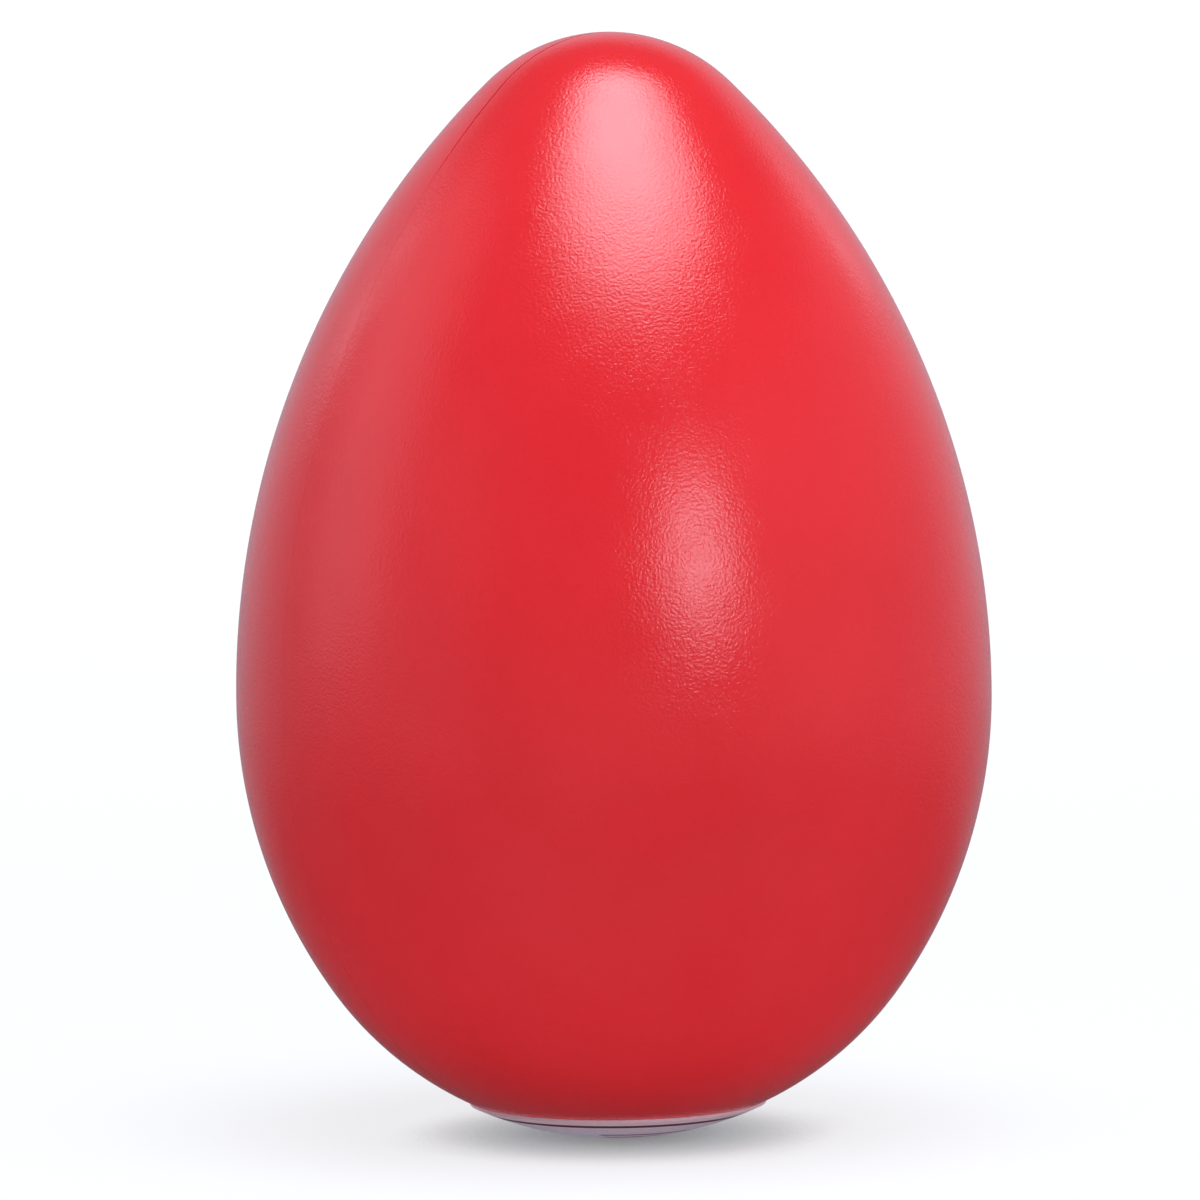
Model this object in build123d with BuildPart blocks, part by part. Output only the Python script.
"""Egg shaker: a sealed plastic egg, moulded in two lengthwise halves, with loose steel shot inside.

The egg stands on its blunt end. The origin is the centre of the small flat that it rests on,
+Z runs up the egg's axis to the tip, and the two halves meet in the XZ plane.
"""

from build123d import *
from math import acos, asin, atan2, cos, degrees, floor, pi, radians, sin, sqrt
import os

# ---------------------------------------------------------------- driving dimensions (mm, degrees)

# Overall shape of the egg
egg_height = 61.4       # from the rest flat to the tip
egg_width = 42.0        # across the girth, the widest level
girth_height = 24.6     # of the widest level above the rest flat
base_turn = 35.0        # how far the wall turns below the girth before the blunt dome takes over
crown_radius = 9.6      # of the round tip
pole_cut = 0.13         # how much of the blunt dome is flattened at its pole, so that the egg stands

# Shell halves
wall = 1.8              # thickness of the moulded wall
tongue_width = 0.6      # of the rib that runs round the front half's rim
tongue_height = 0.9     # how far the rib stands out of the rim
groove_clearance = 0.05  # between the rib and each side of its groove
groove_relief = 0.15    # left for molten plastic past the rib's end
seam_width = 0.14       # of the fine line left open where the two rims meet outside
seam_depth = 0.08       # of that line

# Printed label on the blunt end
label_diameter = 16.4
label_thickness = 0.15

# Steel shot
shot_diameter = 3.0
shot_clearance = 0.15   # between a resting ball and the wall
neighbour_gap = 0.1     # between two balls of one group
group_gap = 0.3         # between two groups, which move past each other
shot_depth = 11.0       # of the heap, above the lowest point of the inner floor

# ---------------------------------------------------------------- the outline's arcs

half_width = egg_width / 2
pole_height = label_thickness - pole_cut  # where the blunt dome would end without its flat

# Blunt end: the flank is upright at the girth, turns by base_turn, and goes on as the dome.
depth = girth_height - pole_height
turn_cos, turn_sin = cos(radians(base_turn)), sin(radians(base_turn))
flank_radius = (half_width * (1 - turn_sin) - depth * turn_cos) / (1 - turn_cos - turn_sin)
dome_radius = (depth * (1 - turn_cos) - half_width * turn_sin) / (1 - turn_cos - turn_sin)

# Pointed end: the shoulder is upright at the girth and runs tangent into the crown.
rise = egg_height - girth_height - crown_radius
shoulder_radius = (half_width**2 + rise**2 - crown_radius**2) / (2 * (half_width - crown_radius))
crown_turn = degrees(atan2(rise, shoulder_radius - half_width))

dome_centre = (0, pole_height + dome_radius)
flank_centre = (half_width - flank_radius, girth_height)
shoulder_centre = (half_width - shoulder_radius, girth_height)
crown_centre = (0, egg_height - crown_radius)


def egg_outline(inset):
    """One side of the outline from the blunt pole up to the tip, moved in by `inset`."""
    dome = CenterArc(dome_centre, dome_radius - inset, -90, 90 - base_turn)
    CenterArc(flank_centre, flank_radius - inset, -base_turn, base_turn)
    CenterArc(shoulder_centre, shoulder_radius - inset, 0, crown_turn)
    crown = CenterArc(crown_centre, crown_radius - inset, crown_turn, 90 - crown_turn)
    Line(crown @ 1, dome @ 0)


def wall_band(outer_inset, inner_inset, all_round=False):
    """The band between two insets of the outline, in the XZ plane: its +X side, or all round."""
    with BuildSketch(Plane.XZ) as band:
        with BuildLine():
            egg_outline(outer_inset)
        make_face()
        with BuildLine():
            egg_outline(inner_inset)
        make_face(mode=Mode.SUBTRACT)
        if all_round:
            mirror(about=Plane.YZ)
    return band.sketch


# ---------------------------------------------------------------- shell halves

rib_inset = (wall - tongue_width) / 2
rib_band = wall_band(rib_inset, wall - rib_inset, all_round=True)
groove_inset = rib_inset - groove_clearance
groove_band = wall_band(groove_inset, wall - groove_inset, all_round=True)
seam_band = wall_band(-seam_width, seam_depth, all_round=True)
groove_depth = tongue_height + groove_relief
back = (0, 1, 0)
rest_plane = Plane.XY.offset(label_thickness)

# The front half carries the tongue, a rib in the middle of its rim.
with BuildPart() as front_shell:
    revolve(wall_band(0, wall), axis=Axis.Z)
    split(bisect_by=rest_plane, keep=Keep.TOP)
    split(bisect_by=Plane.XZ, keep=Keep.TOP)
    extrude(seam_band, amount=seam_width / 2, both=True, mode=Mode.SUBTRACT)
    extrude(rib_band, amount=tongue_height, dir=back)
front_shell.part.label = "front_shell"

# The back half has the groove that the tongue is welded into.
with BuildPart() as back_shell:
    revolve(wall_band(0, wall), axis=Axis.Z)
    split(bisect_by=rest_plane, keep=Keep.TOP)
    split(bisect_by=Plane.XZ, keep=Keep.BOTTOM)
    extrude(seam_band, amount=seam_width / 2, both=True, mode=Mode.SUBTRACT)
    extrude(groove_band, amount=groove_depth, dir=back, mode=Mode.SUBTRACT)
back_shell.part.label = "back_shell"

# ---------------------------------------------------------------- label

# A round sticker that follows the blunt dome and its flat, and is the face the egg stands on.
label_turn = degrees(asin(label_diameter / 2 / dome_radius))
lower_radius = dome_radius + label_thickness
lower_flat_turn = degrees(acos((lower_radius - pole_cut) / lower_radius))
upper_flat_turn = degrees(acos((dome_radius - pole_cut) / dome_radius))

with BuildPart() as base_label:
    with BuildSketch(Plane.XZ):
        with BuildLine():
            lower = CenterArc(dome_centre, lower_radius, lower_flat_turn - 90, label_turn - lower_flat_turn)
            upper = CenterArc(dome_centre, dome_radius, upper_flat_turn - 90, label_turn - upper_flat_turn)
            Line(lower @ 1, upper @ 1)
            Polyline(lower @ 0, (0, 0), (0, label_thickness), upper @ 0)
        make_face()
    revolve(axis=Axis.Z)
base_label.part.label = "base_label"

# ---------------------------------------------------------------- steel shot

shot_radius = shot_diameter / 2
ball_inset = wall + shot_clearance + shot_radius  # from the egg's outside to the centre of a touching ball
ball_spacing = shot_diameter + neighbour_gap
ring_pitch = shot_diameter + group_gap
heap_top = pole_height + wall + shot_depth


def height_at(distance, end_centre, end_radius, side_centre, side_radius, turn, way):
    """Height at which a ball, that far from the axis, meets the wall below (way -1) or above (+1)."""
    end, side = end_radius - ball_inset, side_radius - ball_inset
    if distance <= end * cos(radians(turn)):
        return end_centre[1] + way * sqrt(end**2 - distance**2)
    return side_centre[1] + way * sqrt(side**2 - (distance - side_centre[0]) ** 2)


def floor_height(distance):
    return height_at(distance, dome_centre, dome_radius, flank_centre, flank_radius, base_turn, -1)


def ceiling_height(distance):
    return height_at(distance, crown_centre, crown_radius, shoulder_centre, shoulder_radius, crown_turn, 1)


def layer_heights(distance, rise):
    """Heights of a ring's layers, from the one on the floor up to the top of the heap."""
    lowest = floor_height(distance)
    layers = max(1, 1 + floor((heap_top - shot_radius - lowest) / rise))
    return [lowest + layer * rise for layer in range(layers)]


def column_of_balls():
    """Balls stacked on the axis. Returns how far the stack can rise."""
    heights = layer_heights(0, ball_spacing)
    with Locations(*[(0, 0, height) for height in heights]):
        Sphere(shot_radius)
    return ceiling_height(0) - heights[-1]


def ring_of_balls(ring):
    """Balls round the axis, each layer turned by half a step. Returns how far they can rise."""
    distance = ring * ring_pitch
    count = floor(pi / asin(ball_spacing / 2 / distance))
    half_step = 180 / count
    rise = sqrt(ball_spacing**2 - (2 * distance * sin(radians(half_step / 2))) ** 2)
    heights = layer_heights(distance, rise)
    for layer, height in enumerate(heights):
        with Locations((0, 0, height)):
            with PolarLocations(distance, count, start_angle=layer * half_step):
                Sphere(shot_radius)
    return ceiling_height(distance) - heights[-1]


with BuildPart() as shot_core:
    core_travel = min(column_of_balls(), ring_of_balls(1))
shot_core.part.label = "shot_core"

with BuildPart() as shot_inner_ring:
    inner_travel = ring_of_balls(2)
shot_inner_ring.part.label = "shot_inner_ring"

with BuildPart() as shot_middle_ring:
    middle_travel = ring_of_balls(3)
shot_middle_ring.part.label = "shot_middle_ring"

with BuildPart() as shot_outer_ring:
    outer_travel = ring_of_balls(4)
shot_outer_ring.part.label = "shot_outer_ring"

# ---------------------------------------------------------------- export

os.makedirs("parts", exist_ok=True)

export_step(front_shell.part, "parts/front_shell.step")
export_step(back_shell.part, "parts/back_shell.step")
export_step(base_label.part, "parts/base_label.step")
export_step(shot_core.part, "parts/shot_core.step")
export_step(shot_inner_ring.part, "parts/shot_inner_ring.step")
export_step(shot_middle_ring.part, "parts/shot_middle_ring.step")
export_step(shot_outer_ring.part, "parts/shot_outer_ring.step")

print("arc radii: dome", round(dome_radius, 2), "flank", round(flank_radius, 2),
      "shoulder", round(shoulder_radius, 2), "crown", crown_radius)
print("rest flat radius", round(lower_radius * sin(radians(lower_flat_turn)), 3))
groups = {"core": (shot_core, core_travel), "inner": (shot_inner_ring, inner_travel),
          "middle": (shot_middle_ring, middle_travel), "outer": (shot_outer_ring, outer_travel)}
for name, (group, travel) in groups.items():
    print(name, "shot:", len(group.part.solids()), "balls, free travel", round(travel, 2))
